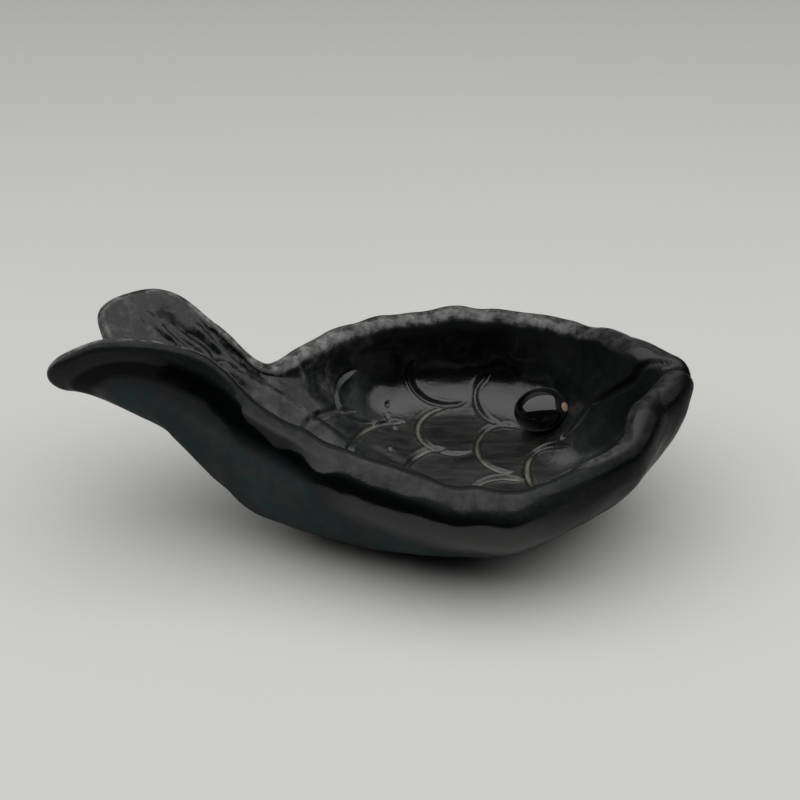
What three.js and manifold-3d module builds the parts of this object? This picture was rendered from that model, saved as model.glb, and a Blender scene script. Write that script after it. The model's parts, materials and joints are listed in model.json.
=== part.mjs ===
// A hand-built fish-shaped trinket dish, in millimetres, +Z up.
// The fish lies on its side: +X is the mouth, -X the raised tail, +Y its back, -Y its belly.
// The dish is one thin clay shell. Its wall climbs from a flat oval foot to a rim that runs right round the fish:
// upper lip, back, the two tail lobes, belly, lower lip. The potter joins it from a pinched body, six edge pieces
// luted along that rim and an eye pellet pressed on the floor, so each of those is a solid of its own.
import * as THREE from 'three';
import { mergeVertices } from 'three/addons/utils/BufferGeometryUtils.js';
import Module from 'manifold-3d';

// Bowl
const BOWL_LENGTH = 103; // tail root to mouth, along the middle of the rim
const BOWL_WIDTH = 88; // back to belly, at the widest place
const RIM_HEIGHT = 28.5; // middle of the rounded rim above the table, along the flanks
const MOUTH_RISE = 9; // how much higher the rim stands at the mouth
const ROOT_RISE = 5; // and where the tail starts
const WALL = 7; // thickness of the rim
const LIP_WALL = 9; // thickness of the lips
const FLOOR = 7; // thickness of the floor
const FOOT_LENGTH = 46; // flat oval that the dish stands on
const FOOT_WIDTH = 40;
const FOOT_BEND = 4; // how far the foot's tail end lies towards the belly
const FOOT_FORWARD = 47; // middle of the foot, from the tail root towards the mouth
const FLOOR_REACH = 0.62; // share of the wall over which the floor thins to the rim
const RIM_SEAM = 0.76; // share of the wall at which the rims and lips are joined on

// Tail
const TAIL_LENGTH = 50; // tail root to the tip of the belly lobe
const TAIL_SPREAD = 37; // across the two lobes
const TAIL_HEIGHT = 54.5; // crest of the belly lobe above the table
const LOBE_WALL = 4.6; // thickness of the fin
const ROOT_FILL = 9; // clay that fills the trough at the tail root
const LOBE_SEAM = 0.6; // share of the ramp at which the lobes are joined on
const SLANT = 0.10; // how much higher that joint runs outside, where the trough is filled

// Marks of the making
const PINCH_PITCH = 11; // one finger pinch to the next, along the rim
const PINCH_DEPTH = 0.35; // how much a pinch thins the rim
const RAYS = 4; // grooves pressed into each lobe
const RAY_DEPTH = 1.4;
const RAY_START = 0.45; // share of the ramp at which the grooves start
const EASE = 0.4; // stations over which the clay's direction is eased
const SPONGE_FROM = 4.8; // stations between which the potter sponges the skin smooth
const SPONGE_TO = 13.6;
const SPONGE_STROKES = 60;
const MOUTH_SLIT = 0.8; // gap between the lips
const LIP_ROUND = 3.6; // radius of each lip's end at the slit
const JOINT = 0.3; // slip joint between two pieces of clay

// Eye
const EYE_LENGTH = 15;
const EYE_WIDTH = 12.8;
const EYE_HEIGHT = 10.8;
const EYE_SINK = 1.2; // how far the pellet's lower end is pressed into the floor
const EYE_STATION = 1.82; // where the pellet sits: station round the rim
const EYE_UP = 0.3; // and share of the way up the inner wall
const EYE_TILT = 0.4; // how far the pellet leans with the floor along the fish, as a share of the floor

const NET = 12; // threads of the net that the skin is drawn over: in a station
const NET_UP = 32; // and up the wall
const RIM_STEP = 4; // facets along the rims
const LOBE_STEP = 2.2; // and along the lobes, which turn faster
const LIP_STEP = 1.4; // and along the lips
const BODY_CLIMB = 10; // facets up the body's wall
const EDGE_CLIMB = 3; // up an edge piece
const CREST_TURN = 6; // and over its crest

const footCentre = new THREE.Vector3(FOOT_FORWARD, 0, FLOOR / 2);
function footEdge(degrees) {
  const a = THREE.MathUtils.degToRad(degrees);
  const bend = FOOT_BEND * ((1 - Math.cos(a)) / 2) ** 2;
  return new THREE.Vector3(FOOT_LENGTH / 2 * Math.cos(a), FOOT_WIDTH / 2 * Math.sin(a) - bend, 0).add(footCentre);
}

// Each station holds the four handles of the wall's curve, from the foot's edge to the middle of the rim. make holds the
// rim's thickness, the share of the wall at which its edge piece is joined on, and the fill on the inside.
// A bowl station lies along and across the bowl, its rim a rise above the flank's. bulge holds the share of the run to
// the rim over which the wall leaves the foot flat, how far it swells square to the rim, and at which share of the height.
function bowl(along, across, rise, footAngle, bulge, wall = WALL, lift = 0) {
  const [flare, swell, hood] = bulge;
  const foot = footEdge(footAngle);
  const rim = new THREE.Vector3(BOWL_LENGTH * (1 - along), across * BOWL_WIDTH / 2, RIM_HEIGHT + rise);
  const low = foot.clone().lerp(rim, flare).setZ(foot.z);
  const high = rim.clone().setZ(THREE.MathUtils.lerp(foot.z, rim.z, hood));
  return { foot, low, high, rim, swell, make: new THREE.Vector3(wall, RIM_SEAM, lift * ROOT_FILL) };
}

// A fin station lies behind the tail root. Its wall climbs the tail's ramp towards the knee and turns up there.
function fin(rimPlace, footAngle, kneePlace, flare, lift = 1, seam = LOBE_SEAM) {
  const behind = ([along, across, height]) =>
    new THREE.Vector3(-along * TAIL_LENGTH, across * TAIL_SPREAD / 2, height * TAIL_HEIGHT);
  const foot = footEdge(footAngle);
  const rim = behind(rimPlace);
  const low = foot.clone().lerp(rim, flare).setZ(foot.z);
  return { foot, low, high: behind(kneePlace), rim, swell: 0, make: new THREE.Vector3(LOBE_WALL, seam, lift * ROOT_FILL) };
}

// Round the rim from the mouth slit by the back, the tail and the belly
const stations = [
  bowl(0.00, -0.08, 1.05 * MOUTH_RISE, 0, [0.45, -0.7, 0.5], LIP_WALL), // 0 mouth
  bowl(0.09, 0.22, MOUTH_RISE, 20, [0.45, -2.6, 0.5], LIP_WALL), // 1 upper lip
  bowl(0.23, 0.72, 0.25 * MOUTH_RISE, 46, [0.7, 0, 0.5]), // 2 cheek
  bowl(0.50, 0.98, 0, 84, [0.95, -0.5, 0.45]), // 3 back
  bowl(0.80, 0.72, 0.25 * ROOT_RISE, 120, [0.8, 0, 0.45], WALL, 0.2), // 4
  bowl(1.00, 0.26, 0.3 * ROOT_RISE, 140, [0.4, -3, 0.75], WALL, 0.5), // 5 tail root at the back
  fin([0.24, 0.65, 0.745], 150, [0.20, 0.20, 0.46], 0.2, 0.6, 0.84), // 6 back lobe
  fin([0.52, 0.95, 0.90], 162, [0.42, 0.00, 0.66], 0.05, 1, 0.84), // 7
  fin([0.80, 0.42, 0.93], 171, [0.62, -0.10, 0.75], 0.10, 1, 0.7), // 8 its tip
  fin([0.71, -0.20, 0.76], 180, [0.51, -0.25, 0.52], 0.15), // 9 notch
  fin([0.90, -0.74, 0.80], 188, [0.62, -0.45, 0.71], 0.25), // 10 belly lobe, lower corner
  fin([0.97, -0.94, 0.91], 196, [0.66, -0.75, 0.87], 0.35), // 11 its tip
  fin([0.70, -0.96, 1.03], 205, [0.58, -1.05, 0.93], 0.72), // 12
  fin([0.28, -0.86, 0.93], 215, [0.28, -1.40, 0.66], 1.22), // 13
  bowl(1.00, -0.45, 1.6 * ROOT_RISE, 227, [1.35, 10, 0.93], WALL, 0.8), // 14 tail root at the belly
  bowl(0.79, -0.70, 0.6 * ROOT_RISE, 246, [1.0, 11, 0.84], WALL, 0.3), // 15
  bowl(0.44, -0.98, 0, 280, [0.15, 13, 0.66]), // 16 belly
  bowl(0.17, -0.74, 0.5 * MOUTH_RISE, 316, [0.3, 0, 0.6], 1.15 * WALL), // 17 throat
  bowl(0.08, -0.39, 0.85 * MOUTH_RISE, 340, [0.4, 1.5, 0.5], 1.1 * LIP_WALL), // 18 lower lip
];
const LAST = stations.length;
stations.forEach(({ high, swell }, i) => {
  const [before, after] = [stations[(i + LAST - 1) % LAST].rim, stations[(i + 1) % LAST].rim];
  const along = after.clone().sub(before).setZ(0).normalize();
  high.add(new THREE.Vector3(along.y, -along.x, 0).multiplyScalar(swell));
});
const PIECES = [
  // name, first and last station, facet length
  ['upper_lip', 0, 1.6, LIP_STEP],
  ['back_rim', 1.6, 5.2, RIM_STEP],
  ['tail_back_lobe', 5.2, 9, LOBE_STEP],
  ['tail_belly_lobe', 9, 13.8, LOBE_STEP],
  ['belly_rim', 13.8, 17.4, RIM_STEP],
  ['lower_lip', 17.4, LAST, LIP_STEP],
];
const FIRST_RAY_STATION = 5.6;
const LAST_RAY_STATION = 13.4;

const glaze = new THREE.MeshStandardMaterial({ color: 0x17191a, roughness: 0.22, metalness: 0 });
const pelletGlaze = new THREE.MeshStandardMaterial({ color: 0x0a0b0b, roughness: 0.08, metalness: 0 });

// The stations' handles on closed curves round the fish
const round = (key) => new THREE.CatmullRomCurve3(stations.map((station) => station[key]), true, 'catmullrom', 0.5);
const rounds = { foot: round('foot'), low: round('low'), high: round('high'), rim: round('rim'), make: round('make') };
const at = (key, place) => rounds[key].getPoint(THREE.MathUtils.euclideanModulo(place / LAST, 1));
function seamAt(place, side) {
  const { y: seam, z: fill } = at('make', place);
  return side > 0 ? seam + SLANT * fill / ROOT_FILL : seam;
}

// Middle of the clay at a place round the rim and a share of the way up the wall.
function middle(place, up) {
  const handles = ['foot', 'low', 'high', 'rim'].map((key) => at(key, place));
  return new THREE.CubicBezierCurve3(...handles).getPoint(up);
}

// Directions at a place on the wall: along the rim, up the wall, and out through the clay.
function directions(place, up) {
  const h = 1e-3;
  const along = middle(place + EASE, up).sub(middle(place - EASE, up)).divideScalar(2 * EASE);
  const top = Math.min(up + h, 1);
  const bottom = Math.max(up - h, 0);
  const rise = middle(place, top).sub(middle(place, bottom)).divideScalar(top - bottom);
  const out = along.clone().cross(rise).normalize();
  return { along, rise, out };
}

const smooth = (t) => THREE.MathUtils.smoothstep(t, 0, 1);
const steps = (n) => Array.from({ length: n + 1 }, (_, i) => i / n);

// Arc length along the rim, for the finger pinches.
const rimLength = [0];
for (let i = 1; i <= LAST * 20; i++) {
  rimLength.push(rimLength[i - 1] + middle(i / 20, 1).distanceTo(middle((i - 1) / 20, 1)));
}
const lengthAt = (place) => {
  const k = THREE.MathUtils.euclideanModulo(place, LAST) * 20;
  const i = Math.min(Math.floor(k), rimLength.length - 2);
  return THREE.MathUtils.lerp(rimLength[i], rimLength[i + 1], k - i);
};

// The skins are drawn over a net of places round the rim and shares of the way up. Along the tail the potter sponges
// them, which draws each knot towards the four around it. The knots on the rim stay, unless they are free.
const netPlaces = steps(LAST * NET).slice(0, -1).map((t) => t * LAST);
const net = (point) => netPlaces.map((place) => steps(NET_UP).map((up) => point(place, up)));
function sponged(knots, free = false) {
  for (let stroke = 0; stroke < SPONGE_STROKES; stroke++) {
    const old = knots.map((row) => row.map((knot) => knot.clone()));
    netPlaces.forEach((place, i) => {
      const tail = smooth((place - SPONGE_FROM) / 0.6) * smooth((SPONGE_TO - place) / 0.6);
      if (tail === 0) return;
      const [before, after] = [old[(i + old.length - 1) % old.length], old[(i + 1) % old.length]];
      for (let j = 1; j < (free ? NET_UP + 1 : NET_UP); j++) {
        const above = old[i][j < NET_UP ? j + 1 : j - 1];
        const around = before[j].clone().add(after[j]).add(old[i][j - 1]).add(above).divideScalar(4);
        knots[i][j].lerp(around, 0.5 * tail);
      }
    });
  }
  return knots;
}

const level = (up) => 1 - smooth(up / FLOOR_REACH);
const down = new THREE.Vector3(0, 0, -1);
const away = sponged(net((place, up) => directions(place, up).out.lerp(down, level(up))), true);
const skinNet = (side) => sponged(netPlaces.map((place, i) => steps(NET_UP).map((up, j) => {
  const { x: wall, z: fill } = at('make', place);
  const half = THREE.MathUtils.lerp(wall, FLOOR, level(up)) / 2;
  const point = middle(place, up).addScaledVector(away[i][j].clone().normalize(), side * half);
  if (side < 0) point.z += fill * (1 - up) ** 1.5 * (0.5 + 1.5 * up + 7 * up ** 2);
  return point;
})));
const skins = { 1: skinNet(1), [-1]: skinNet(-1) };

// A point of a skin, on the smooth sheet through its net. side is 1 outside and -1 inside.
const weights = (t) => [
  (-t + 2 * t ** 2 - t ** 3) / 2, (2 - 5 * t ** 2 + 3 * t ** 3) / 2,
  (t + 4 * t ** 2 - 3 * t ** 3) / 2, (t ** 3 - t ** 2) / 2,
];
function skin(place, up, side) {
  const knots = skins[side];
  const [i, j] = [Math.floor(place * NET), Math.floor(up * NET_UP)];
  const point = new THREE.Vector3();
  weights(place * NET - i).forEach((wa, a) => weights(up * NET_UP - j).forEach((wb, b) => {
    const row = knots[THREE.MathUtils.euclideanModulo(i + a - 1, knots.length)];
    point.addScaledVector(row[THREE.MathUtils.clamp(j + b - 1, 0, NET_UP)], wa * wb);
  }));
  return point;
}

function rayDepth(place, up) {
  if (place < FIRST_RAY_STATION || place > LAST_RAY_STATION) return 0;
  const half = (LAST_RAY_STATION - FIRST_RAY_STATION) / 2;
  const share = THREE.MathUtils.euclideanModulo(place - FIRST_RAY_STATION, half) / half;
  const stroke = 0.5 - 0.5 * Math.cos(2 * Math.PI * RAYS * share);
  return RAY_DEPTH * stroke * Math.sin(Math.PI * THREE.MathUtils.clamp((up - RAY_START) / (1 - RAY_START), 0, 1));
}

// The skin with its pinches and rays.
function wall(place, up, side) {
  const h = 1e-3;
  const along = skin(place + h, up, side).sub(skin(place - h, up, side));
  const rise = skin(place, Math.min(up + h, 1), side).sub(skin(place, Math.max(up - h, 0), side));
  const face = along.cross(rise).normalize().multiplyScalar(side);
  const pinch = PINCH_DEPTH / 4 * (1 - Math.cos(2 * Math.PI * lengthAt(place) / PINCH_PITCH)) * up ** 2;
  return skin(place, up, side).addScaledVector(face, -pinch - (side < 0 ? rayDepth(place, up) : 0));
}

// Share of the wall that the rim stands at. The lips round off towards their slit.
function topAt(place) {
  const length = lengthAt(place);
  const fromSlit = Math.min(length, rimLength[rimLength.length - 1] - length) - MOUTH_SLIT / 2;
  const short = THREE.MathUtils.clamp(LIP_ROUND - fromSlit, 0, LIP_ROUND);
  const drop = LIP_ROUND - Math.sqrt(LIP_ROUND ** 2 - short ** 2);
  return 1 - drop / directions(place, 1).rise.length();
}

// A point of the rounded rim between the two skins. turn goes from 0 outside to 1 inside.
function crest(place, turn) {
  const top = topAt(place);
  const [outside, inside] = [wall(place, top, 1), wall(place, top, -1)];
  const half = outside.clone().sub(inside).divideScalar(2);
  const up = half.clone().cross(directions(place, top).along).setLength(half.length());
  return outside.lerp(inside, 0.5)
    .addScaledVector(half, Math.cos(Math.PI * turn))
    .addScaledVector(up, Math.sin(Math.PI * turn));
}

// One cross-section of an edge piece, from its joint up the outside, over the crest and down the inside.
function edgeSection(place) {
  const climb = (side) => steps(EDGE_CLIMB).slice(0, -1)
    .map((t) => wall(place, THREE.MathUtils.lerp(seamAt(place, side), topAt(place), t), side));
  return [
    ...climb(1),
    ...steps(CREST_TURN).map((turn) => crest(place, turn)),
    ...climb(-1).reverse(),
  ];
}

// One cross-section of the body, from the middle of its foot up the outside to the joint and down to the floor.
function bodySection(place) {
  const climb = (side) => {
    const seam = seamAt(place, side);
    const top = seam - JOINT / directions(place, seam).rise.length();
    return steps(BODY_CLIMB).map((t) => wall(place, t * top, side));
  };
  const ring = (share, middle, edge) =>
    footCentre.clone().lerp(edge, share).setZ(middle + share ** 2 * (edge.z - middle));
  const [foot, floor] = [skin(place, 0, 1), skin(place, 0, -1)];
  return [
    ring(0, 0, foot), ring(0.5, 0, foot),
    ...climb(1),
    ...climb(-1).reverse(),
    ring(0.5, FLOOR, floor), ring(0, FLOOR, floor),
  ];
}

// Skin over a row of cross-sections with equal counts of points. A closed row meets its own start, and an open one
// gets an end face at each end, laddered between its outer and inner halves.
function loft(sections, closed) {
  const positions = [];
  const triangle = (...corners) => corners.forEach((p) => positions.push(p.x, p.y, p.z));
  const quad = (a, b, c, d) => {
    triangle(a, b, c);
    triangle(a, c, d);
  };
  const rows = sections.length;
  const columns = sections[0].length;
  for (let i = 0; i < (closed ? rows : rows - 1); i++) {
    const [here, next] = [sections[i], sections[(i + 1) % rows]];
    for (let j = 0; j < columns - 1; j++) quad(here[j], next[j], next[j + 1], here[j + 1]);
    if (!closed) quad(next[columns - 1], next[0], here[0], here[columns - 1]);
  }
  if (!closed) {
    const [start, end] = [sections[0], sections[rows - 1]];
    for (let j = 0; j < Math.floor(columns / 2); j++) {
      const k = columns - 1 - j;
      quad(start[j], start[j + 1], start[k - 1], start[k]);
      quad(end[j], end[k], end[k - 1], end[j + 1]);
    }
  }
  return closedGeometry(positions);
}

// Merges equal corners and leaves out triangles that have shrunk to a line.
function closedGeometry(positions) {
  const geometry = new THREE.BufferGeometry();
  geometry.setAttribute('position', new THREE.Float32BufferAttribute(positions, 3));
  const merged = mergeVertices(geometry, 1e-4);
  const index = merged.index.array;
  const kept = [];
  for (let i = 0; i < index.length; i += 3) {
    const [a, b, c] = [index[i], index[i + 1], index[i + 2]];
    if (a !== b && b !== c && c !== a) kept.push(a, b, c);
  }
  merged.setIndex(kept);
  merged.computeVertexNormals();
  return merged;
}

// Places along the rim between two stations, a facet's length apart.
function places(from, to, facet) {
  const count = Math.ceil((lengthAt(to - 1e-6) - lengthAt(from)) / facet);
  return steps(count).map((t) => THREE.MathUtils.lerp(from, to, t));
}

// The same places with half a joint taken off each end.
function trimmed(list, before, after) {
  const perStation = (place) => middle(place - 0.01, 1).distanceTo(middle(place + 0.01, 1)) / 0.02;
  const result = [...list];
  result[0] += before / 2 / perStation(list[0]);
  result[list.length - 1] -= after / 2 / perStation(list[list.length - 1]);
  return result;
}

const wasm = await Module();
wasm.setup();
function solid(geometry) {
  const bare = geometry.clone().deleteAttribute('normal').deleteAttribute('uv');
  const merged = mergeVertices(bare, 1e-4);
  const vertProperties = merged.getAttribute('position').array;
  return new wasm.Manifold(new wasm.Mesh({ numProp: 3, vertProperties, triVerts: new Uint32Array(merged.index.array) }));
}
function geometryOf(manifold) {
  const mesh = manifold.getMesh();
  const geometry = new THREE.BufferGeometry();
  geometry.setAttribute('position', new THREE.BufferAttribute(new Float32Array(mesh.vertProperties), 3));
  geometry.setIndex(new THREE.BufferAttribute(new Uint32Array(mesh.triVerts), 1));
  geometry.computeVertexNormals();
  return geometry;
}

const fish = new THREE.Group();
function add(name, geometry, material) {
  const mesh = new THREE.Mesh(geometry, material);
  mesh.name = name;
  fish.add(mesh);
  return mesh;
}

// The body, and the edge pieces luted round it
const everyPlace = PIECES.flatMap(([, from, to, facet]) => places(from, to, facet).slice(0, -1));
const body = loft(everyPlace.map(bodySection), true);
add('dish_body', body, glaze);
for (const [name, from, to, facet] of PIECES) {
  const before = from === 0 ? MOUTH_SLIT : JOINT;
  const after = to === LAST ? MOUTH_SLIT : JOINT;
  add(name, loft(trimmed(places(from, to, facet), before, after).map(edgeSection), false), glaze);
}

// The eye, a ball of clay pressed flat on the sloping floor. It is cut to the floor's shape and seated on its joint.
function eyePellet() {
  const out = directions(EYE_STATION, EYE_UP).out;
  const inwards = new THREE.Vector3(-EYE_TILT * out.x, -out.y, -out.z).normalize();
  const across = inwards.clone().cross(new THREE.Vector3(1, 0, 0)).normalize();
  const along = across.clone().cross(inwards);
  const middle = skin(EYE_STATION, EYE_UP, -1).addScaledVector(inwards, EYE_HEIGHT / 2 - EYE_SINK);
  const seat = new THREE.Matrix4().makeBasis(along, across, inwards).setPosition(middle);
  const pellet = new THREE.SphereGeometry(0.5, 32, 20).scale(EYE_LENGTH, EYE_WIDTH, EYE_HEIGHT).applyMatrix4(seat);
  const seated = geometryOf(solid(pellet).subtract(solid(body)));
  const joint = inwards.multiplyScalar(JOINT);
  return seated.translate(...joint);
}
add('eye_pellet', eyePellet(), pelletGlaze);

// The origin is on the table, below the middle of the whole dish.
const box = new THREE.Box3().setFromObject(fish);
const centre = box.getCenter(new THREE.Vector3());
fish.position.set(-centre.x, -centre.y, -box.min.z);

export default fish;
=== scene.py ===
"""Forms, incises and glazes a hand-built fish dish around its packed clay pieces.

The dish is one clay shell. Its wall climbs from a flat oval foot to a rim that runs right round the fish: upper lip,
back, the two tail lobes, belly, lower lip. A point of it has a place round the rim, counted in stations from the mouth
slit, and a share of the way up the wall. The shell is formed whole, incised, and then parted into its pieces, so that
they meet without a step where the potter smoothed the joints over.
"""

import json
import math
from functools import cache

import bmesh
import bpy
import numpy as np
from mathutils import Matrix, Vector
from mathutils.bvhtree import BVHTree


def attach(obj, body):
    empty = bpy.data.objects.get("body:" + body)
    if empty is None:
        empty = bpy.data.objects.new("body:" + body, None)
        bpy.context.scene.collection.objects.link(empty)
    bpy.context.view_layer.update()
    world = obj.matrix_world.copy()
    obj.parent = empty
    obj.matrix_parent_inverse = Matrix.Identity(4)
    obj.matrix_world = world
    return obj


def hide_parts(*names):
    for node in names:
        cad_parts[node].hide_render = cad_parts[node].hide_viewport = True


bl_info = {
    "name": "Fish Dish",
    "version": (1, 0, 0),
    "blender": (4, 5, 0),
    "location": "View3D > Sidebar > Fish Dish",
    "description": "Forms, incises and glazes a hand-built fish dish around its packed clay pieces",
    "category": "Add Mesh",
}

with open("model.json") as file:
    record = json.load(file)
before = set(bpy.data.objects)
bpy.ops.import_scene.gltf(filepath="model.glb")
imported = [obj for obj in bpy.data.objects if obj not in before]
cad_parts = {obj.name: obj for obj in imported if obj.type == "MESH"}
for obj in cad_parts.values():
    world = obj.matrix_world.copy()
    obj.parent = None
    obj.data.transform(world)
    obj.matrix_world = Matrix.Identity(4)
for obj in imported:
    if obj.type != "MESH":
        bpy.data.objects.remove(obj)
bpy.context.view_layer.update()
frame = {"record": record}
FOOT_CENTRE = np.array(frame["record"]["mounts"][0]["pos_m"])
MM = 0.001


def length(name, mm, description):
    """A size in millimetres, held in metres."""
    return bpy.props.FloatProperty(
        name=name, description=description, default=mm * MM, unit="LENGTH", precision=5
    )


def colour(name, default, description):
    """A colour, as light that a surface gives back."""
    return bpy.props.FloatVectorProperty(
        name=name, description=description, default=default, subtype="COLOR", min=0, max=1
    )


class ClaySizes(bpy.types.PropertyGroup):
    """Sizes of the hand-built clay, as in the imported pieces."""

    bowl_length: length("Bowl length", 103, "Tail root to mouth, along the middle of the rim")
    bowl_width: length("Bowl width", 88, "Back to belly, at the widest place")
    rim_height: length("Rim height", 28.5, "Middle of the rounded rim above the table, along the flanks")
    mouth_rise: length("Mouth rise", 9, "How much higher the rim stands at the mouth")
    root_rise: length("Root rise", 5, "How much higher the rim stands where the tail starts")
    wall: length("Wall", 7, "Thickness of the rim")
    lip_wall: length("Lip wall", 9, "Thickness of the lips")
    floor: length("Floor", 7, "Thickness of the floor")
    foot_length: length("Foot length", 46, "Flat oval that the dish stands on")
    foot_width: length("Foot width", 40, "Flat oval that the dish stands on")
    foot_bend: length("Foot bend", 4, "How far the foot's tail end lies towards the belly")
    foot_forward: length("Foot forward", 47, "Middle of the foot, from the tail root towards the mouth")
    tail_length: length("Tail length", 50, "Tail root to the tip of the belly lobe")
    tail_spread: length("Tail spread", 37, "Across the two lobes")
    tail_height: length("Tail height", 54.5, "Crest of the belly lobe above the table")
    root_fill: length("Root fill", 9, "Clay that fills the trough at the tail root")
    lobe_wall: length("Lobe wall", 4.6, "Thickness of the fin")
    pinch_pitch: length("Pinch pitch", 11, "One finger pinch to the next, along the rim")
    pinch_depth: length("Pinch depth", 0.35, "How much a pinch thins the rim")
    ray_depth: length("Ray depth", 1.4, "Depth of the grooves pressed into each lobe")
    lip_round: length("Lip round", 3.6, "Radius of each lip's end at the slit")
    eye_length: length("Eye length", 15, "Pellet along the fish")
    eye_width: length("Eye width", 12.8, "Pellet across the fish")
    eye_height: length("Eye height", 10.8, "Pellet out of the floor, before it is pressed in")
    eye_sink: length("Eye sink", 1.2, "How far the pellet is pressed into the floor")


class ToolMarks(bpy.types.PropertyGroup):
    """Marks of the potter's hands and tools."""

    line_width: length("Line width", 2.1, "Width of an incised line")
    line_depth: length("Line depth", 0.9, "Depth of an incised line")
    burr: length("Burr", 0.12, "Height of the clay that a tool pushes up beside its line")
    lump_size: length("Lump size", 13, "Spacing of the dents that fingers leave in the wall")
    lump_height: length("Lump height", 0.7, "How far those dents go in and out")
    wobble: length("Rim wobble", 0.25, "How far the pinched rim wanders up and down")


class GlazeFinish(bpy.types.PropertyGroup):
    """Colours of the fired glaze."""

    black: colour("Black", (0.0010, 0.0013, 0.0014), "Deep glaze")
    slate: colour("Slate", (0.026, 0.033, 0.034), "Dull glaze low on the outside")
    blue: colour("Blue-grey", (0.025, 0.046, 0.051), "Where the glaze is thin on the outside")
    brown: colour("Brown", (0.060, 0.044, 0.030), "Where the clay shows through the glaze")
    grey: colour("Grey", (0.040, 0.041, 0.038), "Clouds in the thin glaze on the outside")
    film: colour("Film", (0.0150, 0.0155, 0.0140), "Streaky film on the floor")
    satin: colour("Satin", (0.0090, 0.0100, 0.0098), "Grey of the handled rim")
    # Painted highlight: light grey for the rim's worn inner edge and for patches in the tail's trough and on the saddle
    edge: colour("Edge", (0.150, 0.154, 0.147), "Worn inner edge of the rim")
    wash: colour("Wash", (0.22, 0.21, 0.16), "Tan-grey wash that stays in the incised lines")
    chip: colour("Chip", (0.34, 0.24, 0.16), "Bare clay in specks and in the chip of the eye")


class StudioSetup(bpy.types.PropertyGroup):
    """Light tent and camera."""

    floor_colour: colour("Floor colour", (0.50, 0.50, 0.484), "Paper that the dish stands on")
    elevation: bpy.props.FloatProperty(
        name="Elevation", description="Camera above the horizon", default=math.radians(33), subtype="ANGLE"
    )
    distance: length("Distance", 460, "Camera to the dish")
    view_width: length("View width", 212, "Width of the view at the dish")
    table_half: length("Table half", 6000, "Middle of the table to its edge")
    panel_length: length("Panel length", 2200, "Lamp panel along the fish")
    panel_width: length("Panel width", 700, "Lamp panel across the fish")
    panel_height: length("Panel height", 500, "Lamp panel above the table")
    panel_forward: length("Panel forward", 50, "How far the lamp panel hangs towards the camera")
    panel_light: bpy.props.FloatProperty(name="Panel light", description="Brightness of the lamp panel", default=1.8)
    tent_light: bpy.props.FloatProperty(name="Tent light", description="Brightness of the tent's walls", default=0.36)


# Stations round the rim from the mouth slit, and the pieces between them
RIM_PIECES = {
    "upper_lip": (0, 1.6),
    "back_rim": (1.6, 5.2),
    "tail_back_lobe": (5.2, 9),
    "tail_belly_lobe": (9, 13.8),
    "belly_rim": (13.8, 17.4),
    "lower_lip": (17.4, 19),
}
FLOOR_REACH = 0.62  # share of the wall over which the floor thins to the rim
NET, NET_UP = 12, 32  # threads of the net that the skin is drawn over: in a station, and up the wall
SPONGED, SPONGE_STROKES = (4.8, 13.6), 60  # stations between which the potter sponges the skin smooth
EASE = 0.4  # stations over which the clay's direction is eased
RIM_SEAM, LOBE_SEAM = 0.76, 0.6  # shares of the wall at which the edge pieces are joined on
SLANT = 0.1  # how much higher a joint runs outside, where the trough is filled
RAYS, RAY_START, RAY_STATIONS = 4, 0.45, (5.6, 13.4)
WAVERED, WAVER_EASE = (14.8, 4.6), 0.8  # stations between which the rim wavers, past the mouth
EYE_STATION, EYE_UP, EYE_TILT = 1.82, 0.3, 0.4
CHIP_TOWARDS, CHIP_EDGE = (0.84, -0.38, 0.39), (0.982, 0.988)  # where the eye's glaze is chipped, and how near to it
CALM = 2 * MM  # height above the table up to which the foot is kept flat
LOOK_AT = (33.9 * MM, 15 * MM, 20 * MM)  # middle of the view, from the tail root

# Stretches along the fish, from the dish's middle, over which one finish passes into the next
LIPS, HEAD, CHEEK, JAW = (48 * MM, 58 * MM), (44 * MM, 62 * MM), (36 * MM, 50 * MM), (30 * MM, 52 * MM)
TAIL, RAMP = (-22 * MM, -6 * MM), (-17 * MM, 4 * MM)
SADDLE_START, SADDLE_END = (-36 * MM, -24 * MM), (-12 * MM, 8 * MM)
# The same up the wall, in shares of the way
FLOOR_TOP, CHEEK_FOOT, INNER_EDGE = (0.35, 0.62), (0.62, 0.82), (0.90, 0.985)
WALL_TOP, TAIL_WALL_TOP = (0.58, 0.74), (0.74, 0.88)
SHOULDER, TAIL_SHOULDER = (0.86, 0.94), (0.94, 0.985)
FOLD_START, FOLD_END = (0.82, 0.88), (0.93, 0.96)
# Worn places on the outside: middle and radius
RUST_PATCH = (-18 * MM, -23.5 * MM, 9 * MM), 7 * MM
BARE_PATCH = (30 * MM, -32 * MM, 6 * MM), 10 * MM

# Facets
ROUND = 640  # round the rim
LOW_IN, LOW_OUT, HIGH, CREST = 66, 26, 26, 17  # up the body inside and outside, up an edge piece, over its crest
FLOOR_RINGS, FOOT_RINGS = 44, 3


def smooth(t):
    """0 below 0, 1 above 1, and an easy passage between them."""
    t = np.clip(t, 0, 1)
    return t * t * (3 - 2 * t)


def unit(v):
    return v / np.linalg.norm(v, axis=-1, keepdims=True)


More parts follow.
